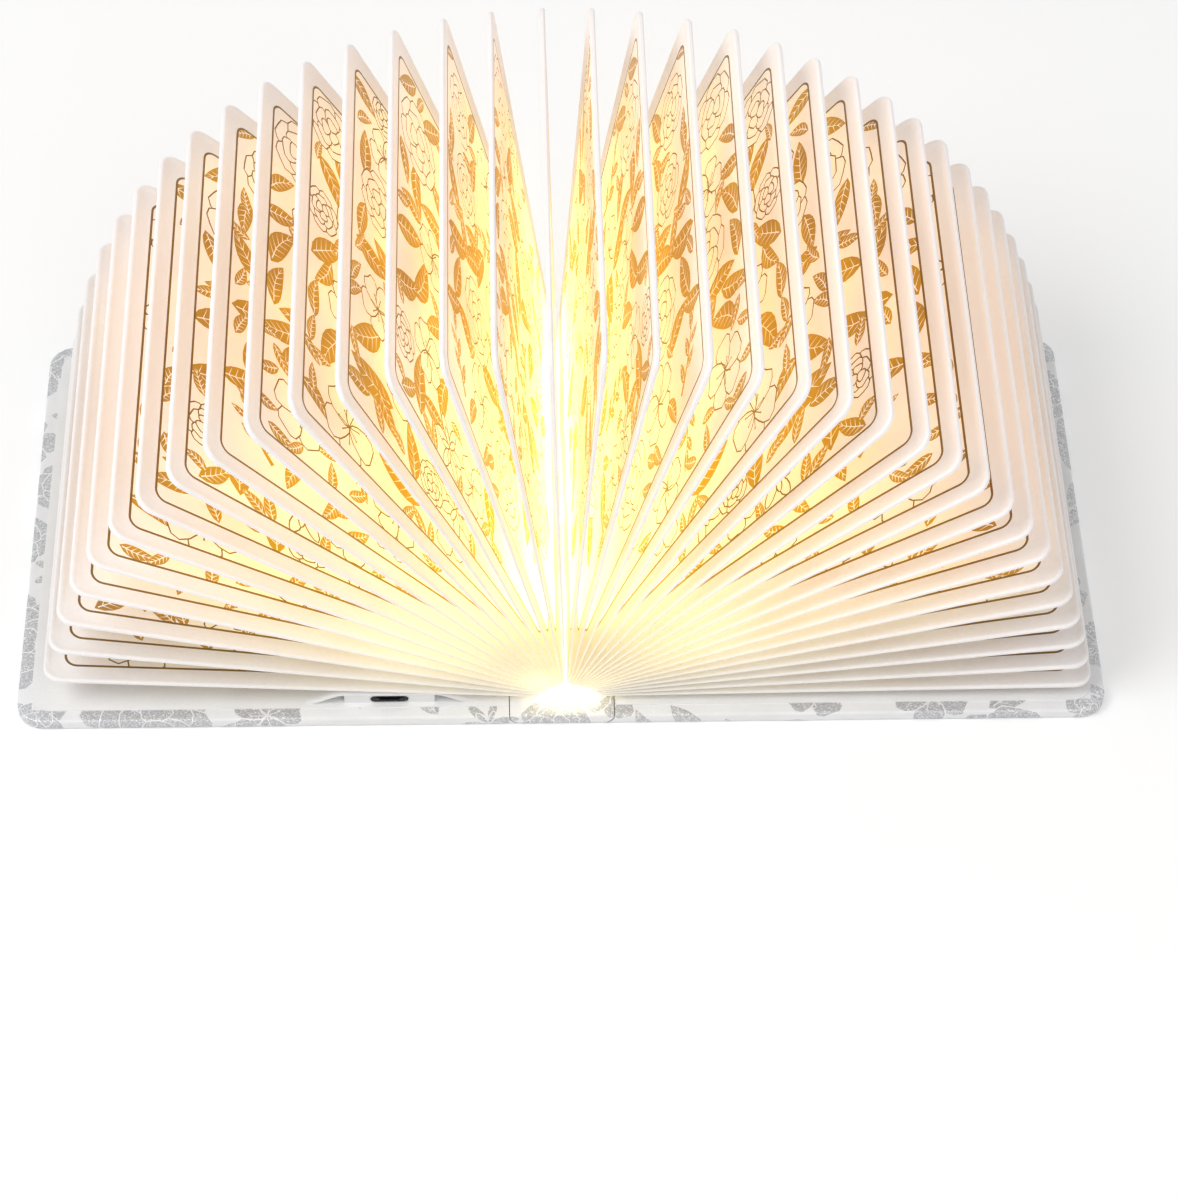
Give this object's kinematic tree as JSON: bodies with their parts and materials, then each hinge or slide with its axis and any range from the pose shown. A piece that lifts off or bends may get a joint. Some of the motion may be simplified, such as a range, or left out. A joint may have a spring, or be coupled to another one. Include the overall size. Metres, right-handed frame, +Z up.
{
  "type": "folding book lamp",
  "caption": "Hardcover book-shaped lamp that opens flat; a fan of glowing paper leaves turns on a light bar along its spine.",
  "frame": {"origin": "middle of the underside of the spine, on the surface the open lamp lies on", "axes": "+Z up, X across the open covers with +X the right cover, Y along the spine with the front end at -Y"},
  "size_m": [0.3626, 0.172, 0.1709],
  "materials": {
    "cover_paper": "satin white cover paper with a silver-grey foil floral print",
    "board": "greyboard",
    "lining_paper": "matte white lining paper",
    "leaf_paper": "translucent white two-ply paper with a gold print, lit from inside",
    "base_metal": "satin anodised extrusion",
    "strip": "white flexible circuit",
    "led": "phosphor-filled LED packages",
    "diffuser": "frosted translucent diffuser, glowing warm white",
    "cap": "white moulded plastic",
    "lead": "flat flexible lead",
    "magnet": "nickel-plated magnet",
    "housing": "white moulded plastic",
    "cell": "foil battery pouch",
    "board_green": "green solder mask",
    "usb_metal": "plated socket shell",
    "usb_black": "black moulded plastic"
  },
  "bodies": {
    "spine": {"spine_board": "board", "spine_wrap": "cover_paper", "bar_base": "base_metal", "led_strip": "strip", "led_chips": "led", "diffuser": "diffuser", "front_end_cap": "cap", "rear_end_cap": "cap", "bar_lead": "lead"},
    "right_cover": {"right_board": "board", "right_wrap": "cover_paper", "right_lining": "lining_paper", "right_magnets": "magnet"},
    "left_cover": {"left_board": "board", "left_wrap": "cover_paper", "left_lining": "lining_paper", "left_magnets": "magnet", "housing_tray": "housing", "housing_lid": "housing", "battery_cell": "cell", "charge_board": "board_green", "usb_shell": "usb_metal", "usb_tongue": "usb_black", "cover_lead": "lead"},
    "leaf_01_sheet": {"leaf_01": "leaf_paper"},
    "leaf_02_sheet": {"leaf_02": "leaf_paper"},
    "leaf_03_sheet": {"leaf_03": "leaf_paper"},
    "leaf_04_sheet": {"leaf_04": "leaf_paper"},
    "leaf_05_sheet": {"leaf_05": "leaf_paper"},
    "leaf_06_sheet": {"leaf_06": "leaf_paper"},
    "leaf_07_sheet": {"leaf_07": "leaf_paper"},
    "leaf_08_sheet": {"leaf_08": "leaf_paper"},
    "leaf_09_sheet": {"leaf_09": "leaf_paper"},
    "leaf_10_sheet": {"leaf_10": "leaf_paper"},
    "leaf_11_sheet": {"leaf_11": "leaf_paper"},
    "leaf_12_sheet": {"leaf_12": "leaf_paper"},
    "leaf_13_sheet": {"leaf_13": "leaf_paper"},
    "leaf_14_sheet": {"leaf_14": "leaf_paper"},
    "leaf_15_sheet": {"leaf_15": "leaf_paper"},
    "leaf_16_sheet": {"leaf_16": "leaf_paper"},
    "leaf_17_sheet": {"leaf_17": "leaf_paper"},
    "leaf_18_sheet": {"leaf_18": "leaf_paper"},
    "leaf_19_sheet": {"leaf_19": "leaf_paper"},
    "leaf_20_sheet": {"leaf_20": "leaf_paper"},
    "leaf_21_sheet": {"leaf_21": "leaf_paper"},
    "leaf_22_sheet": {"leaf_22": "leaf_paper"},
    "leaf_23_sheet": {"leaf_23": "leaf_paper"},
    "leaf_24_sheet": {"leaf_24": "leaf_paper"},
    "leaf_25_sheet": {"leaf_25": "leaf_paper"},
    "leaf_26_sheet": {"leaf_26": "leaf_paper"},
    "leaf_27_sheet": {"leaf_27": "leaf_paper"},
    "leaf_28_sheet": {"leaf_28": "leaf_paper"},
    "leaf_29_sheet": {"leaf_29": "leaf_paper"},
    "leaf_30_sheet": {"leaf_30": "leaf_paper"},
    "leaf_31_sheet": {"leaf_31": "leaf_paper"},
    "leaf_32_sheet": {"leaf_32": "leaf_paper"},
    "leaf_33_sheet": {"leaf_33": "leaf_paper"},
    "leaf_34_sheet": {"leaf_34": "leaf_paper"},
    "leaf_35_sheet": {"leaf_35": "leaf_paper"}
  },
  "joints": [
    {"name": "right_cover_hinge", "type": "hinge", "parent": "spine", "child": "right_cover", "pos_m": [0.0133, 0, 0.004], "axis": [0, -1, 0], "range_deg": [0, 90]},
    {"name": "left_cover_hinge", "type": "hinge", "parent": "spine", "child": "left_cover", "pos_m": [-0.0133, 0, 0.004], "axis": [0, 1, 0], "range_deg": [0, 90]},
    {"name": "leaf_01_hinge", "type": "hinge", "parent": "spine", "child": "leaf_01_sheet", "pos_m": [0.0125, 0, 0.0072], "axis": [0, -1, 0], "range_deg": [0, 89.2]},
    {"name": "leaf_02_hinge", "type": "hinge", "parent": "spine", "child": "leaf_02_sheet", "pos_m": [0.0119, 0, 0.00806], "axis": [0, -1, 0], "range_deg": [0, 85.88]},
    {"name": "leaf_03_hinge", "type": "hinge", "parent": "spine", "child": "leaf_03_sheet", "pos_m": [0.0113, 0, 0.00878], "axis": [0, -1, 0], "range_deg": [0, 82.34]},
    {"name": "leaf_04_hinge", "type": "hinge", "parent": "spine", "child": "leaf_04_sheet", "pos_m": [0.0107, 0, 0.00941], "axis": [0, -1, 0], "range_deg": [0, 78.58]},
    {"name": "leaf_05_hinge", "type": "hinge", "parent": "spine", "child": "leaf_05_sheet", "pos_m": [0.0101, 0, 0.00995], "axis": [0, -1, 0], "range_deg": [0, 74.62]},
    {"name": "leaf_06_hinge", "type": "hinge", "parent": "spine", "child": "leaf_06_sheet", "pos_m": [0.0095, 0, 0.01042], "axis": [0, -1, 0], "range_deg": [0, 70.46]},
    {"name": "leaf_07_hinge", "type": "hinge", "parent": "spine", "child": "leaf_07_sheet", "pos_m": [0.0089, 0, 0.01084], "axis": [0, -1, 0], "range_deg": [0, 66.12]},
    {"name": "leaf_08_hinge", "type": "hinge", "parent": "spine", "child": "leaf_08_sheet", "pos_m": [0.0083, 0, 0.01121], "axis": [0, -1, 0], "range_deg": [0, 61.61]},
    {"name": "leaf_09_hinge", "type": "hinge", "parent": "spine", "child": "leaf_09_sheet", "pos_m": [0.0077, 0, 0.01153], "axis": [0, -1, 0], "range_deg": [0, 56.93]},
    {"name": "leaf_10_hinge", "type": "hinge", "parent": "spine", "child": "leaf_10_sheet", "pos_m": [0.0071, 0, 0.01181], "axis": [0, -1, 0], "range_deg": [0, 52.11]},
    {"name": "leaf_11_hinge", "type": "hinge", "parent": "spine", "child": "leaf_11_sheet", "pos_m": [0.0065, 0, 0.01205], "axis": [0, -1, 0], "range_deg": [0, 47.14]},
    {"name": "leaf_12_hinge", "type": "hinge", "parent": "spine", "child": "leaf_12_sheet", "pos_m": [0.0059, 0, 0.01225], "axis": [0, -1, 0], "range_deg": [0, 42.05]},
    {"name": "leaf_13_hinge", "type": "hinge", "parent": "spine", "child": "leaf_13_sheet", "pos_m": [0.0053, 0, 0.01242], "axis": [0, -1, 0], "range_deg": [0, 36.83]},
    {"name": "leaf_14_hinge", "type": "hinge", "parent": "spine", "child": "leaf_14_sheet", "pos_m": [0.0047, 0, 0.01256], "axis": [0, -1, 0], "range_deg": [0, 31.51]},
    {"name": "leaf_15_hinge", "type": "hinge", "parent": "spine", "child": "leaf_15_sheet", "pos_m": [0.0041, 0, 0.01266], "axis": [0, -1, 0], "range_deg": [0, 26.09]},
    {"name": "leaf_16_hinge", "type": "hinge", "parent": "spine", "child": "leaf_16_sheet", "pos_m": [0.0035, 0, 0.01274], "axis": [0, -1, 0], "range_deg": [0, 20.58]},
    {"name": "leaf_17_hinge", "type": "hinge", "parent": "spine", "child": "leaf_17_sheet", "pos_m": [0.0029, 0, 0.01278], "axis": [0, -1, 0], "range_deg": [0, 15]},
    {"name": "leaf_18_hinge", "type": "hinge", "parent": "spine", "child": "leaf_18_sheet", "pos_m": [0.0023, 0, 0.0128], "axis": [0, -1, 0], "range_deg": [0, 9.35]},
    {"name": "leaf_19_hinge", "type": "hinge", "parent": "spine", "child": "leaf_19_sheet", "pos_m": [0.0017, 0, 0.01278], "axis": [0, -1, 0], "range_deg": [0, 3.64]},
    {"name": "leaf_20_hinge", "type": "hinge", "parent": "spine", "child": "leaf_20_sheet", "pos_m": [0.0011, 0, 0.01274], "axis": [0, 1, 0], "range_deg": [0, 2.1]},
    {"name": "leaf_21_hinge", "type": "hinge", "parent": "spine", "child": "leaf_21_sheet", "pos_m": [0.0005, 0, 0.01266], "axis": [0, 1, 0], "range_deg": [0, 7.88]},
    {"name": "leaf_22_hinge", "type": "hinge", "parent": "spine", "child": "leaf_22_sheet", "pos_m": [-0.0001, 0, 0.01256], "axis": [0, 1, 0], "range_deg": [0, 13.69]},
    {"name": "leaf_23_hinge", "type": "hinge", "parent": "spine", "child": "leaf_23_sheet", "pos_m": [-0.0007, 0, 0.01242], "axis": [0, 1, 0], "range_deg": [0, 19.5]},
    {"name": "leaf_24_hinge", "type": "hinge", "parent": "spine", "child": "leaf_24_sheet", "pos_m": [-0.0013, 0, 0.01225], "axis": [0, 1, 0], "range_deg": [0, 25.32]},
    {"name": "leaf_25_hinge", "type": "hinge", "parent": "spine", "child": "leaf_25_sheet", "pos_m": [-0.0019, 0, 0.01205], "axis": [0, 1, 0], "range_deg": [0, 31.12]},
    {"name": "leaf_26_hinge", "type": "hinge", "parent": "spine", "child": "leaf_26_sheet", "pos_m": [-0.0025, 0, 0.01181], "axis": [0, 1, 0], "range_deg": [0, 36.91]},
    {"name": "leaf_27_hinge", "type": "hinge", "parent": "spine", "child": "leaf_27_sheet", "pos_m": [-0.0031, 0, 0.01153], "axis": [0, 1, 0], "range_deg": [0, 42.67]},
    {"name": "leaf_28_hinge", "type": "hinge", "parent": "spine", "child": "leaf_28_sheet", "pos_m": [-0.0037, 0, 0.01121], "axis": [0, 1, 0], "range_deg": [0, 48.38]},
    {"name": "leaf_29_hinge", "type": "hinge", "parent": "spine", "child": "leaf_29_sheet", "pos_m": [-0.0043, 0, 0.01084], "axis": [0, 1, 0], "range_deg": [0, 54.04]},
    {"name": "leaf_30_hinge", "type": "hinge", "parent": "spine", "child": "leaf_30_sheet", "pos_m": [-0.0049, 0, 0.01042], "axis": [0, 1, 0], "range_deg": [0, 59.64]},
    {"name": "leaf_31_hinge", "type": "hinge", "parent": "spine", "child": "leaf_31_sheet", "pos_m": [-0.0055, 0, 0.00995], "axis": [0, 1, 0], "range_deg": [0, 65.16]},
    {"name": "leaf_32_hinge", "type": "hinge", "parent": "spine", "child": "leaf_32_sheet", "pos_m": [-0.0061, 0, 0.00941], "axis": [0, 1, 0], "range_deg": [0, 70.6]},
    {"name": "leaf_33_hinge", "type": "hinge", "parent": "spine", "child": "leaf_33_sheet", "pos_m": [-0.0067, 0, 0.00878], "axis": [0, 1, 0], "range_deg": [0, 75.94]},
    {"name": "leaf_34_hinge", "type": "hinge", "parent": "spine", "child": "leaf_34_sheet", "pos_m": [-0.0073, 0, 0.00806], "axis": [0, 1, 0], "range_deg": [0, 81.18]},
    {"name": "leaf_35_hinge", "type": "hinge", "parent": "spine", "child": "leaf_35_sheet", "pos_m": [-0.0079, 0, 0.0072], "axis": [0, 1, 0], "range_deg": [0, 86.3]}
  ],
  "couplings": [
    {"joint": "left_cover_hinge", "follows": "right_cover_hinge", "ratio": 1},
    {"joint": "leaf_01_hinge", "follows": "right_cover_hinge", "ratio": 0.99111},
    {"joint": "leaf_02_hinge", "follows": "right_cover_hinge", "ratio": 0.95426},
    {"joint": "leaf_03_hinge", "follows": "right_cover_hinge", "ratio": 0.91489},
    {"joint": "leaf_04_hinge", "follows": "right_cover_hinge", "ratio": 0.87313},
    {"joint": "leaf_05_hinge", "follows": "right_cover_hinge", "ratio": 0.82909},
    {"joint": "leaf_06_hinge", "follows": "right_cover_hinge", "ratio": 0.7829},
    {"joint": "leaf_07_hinge", "follows": "right_cover_hinge", "ratio": 0.73468},
    {"joint": "leaf_08_hinge", "follows": "right_cover_hinge", "ratio": 0.68453},
    {"joint": "leaf_09_hinge", "follows": "right_cover_hinge", "ratio": 0.63259},
    {"joint": "leaf_10_hinge", "follows": "right_cover_hinge", "ratio": 0.57897},
    {"joint": "leaf_11_hinge", "follows": "right_cover_hinge", "ratio": 0.52379},
    {"joint": "leaf_12_hinge", "follows": "right_cover_hinge", "ratio": 0.46717},
    {"joint": "leaf_13_hinge", "follows": "right_cover_hinge", "ratio": 0.40923},
    {"joint": "leaf_14_hinge", "follows": "right_cover_hinge", "ratio": 0.35008},
    {"joint": "leaf_15_hinge", "follows": "right_cover_hinge", "ratio": 0.28986},
    {"joint": "leaf_16_hinge", "follows": "right_cover_hinge", "ratio": 0.22866},
    {"joint": "leaf_17_hinge", "follows": "right_cover_hinge", "ratio": 0.16662},
    {"joint": "leaf_18_hinge", "follows": "right_cover_hinge", "ratio": 0.10386},
    {"joint": "leaf_19_hinge", "follows": "right_cover_hinge", "ratio": 0.040489},
    {"joint": "leaf_20_hinge", "follows": "right_cover_hinge", "ratio": 0.023371},
    {"joint": "leaf_21_hinge", "follows": "right_cover_hinge", "ratio": 0.0876},
    {"joint": "leaf_22_hinge", "follows": "right_cover_hinge", "ratio": 0.15208},
    {"joint": "leaf_23_hinge", "follows": "right_cover_hinge", "ratio": 0.21669},
    {"joint": "leaf_24_hinge", "follows": "right_cover_hinge", "ratio": 0.28131},
    {"joint": "leaf_25_hinge", "follows": "right_cover_hinge", "ratio": 0.34583},
    {"joint": "leaf_26_hinge", "follows": "right_cover_hinge", "ratio": 0.41012},
    {"joint": "leaf_27_hinge", "follows": "right_cover_hinge", "ratio": 0.47406},
    {"joint": "leaf_28_hinge", "follows": "right_cover_hinge", "ratio": 0.53754},
    {"joint": "leaf_29_hinge", "follows": "right_cover_hinge", "ratio": 0.60043},
    {"joint": "leaf_30_hinge", "follows": "right_cover_hinge", "ratio": 0.66263},
    {"joint": "leaf_31_hinge", "follows": "right_cover_hinge", "ratio": 0.724},
    {"joint": "leaf_32_hinge", "follows": "right_cover_hinge", "ratio": 0.78443},
    {"joint": "leaf_33_hinge", "follows": "right_cover_hinge", "ratio": 0.8438},
    {"joint": "leaf_34_hinge", "follows": "right_cover_hinge", "ratio": 0.90199},
    {"joint": "leaf_35_hinge", "follows": "right_cover_hinge", "ratio": 0.95889}
  ]
}
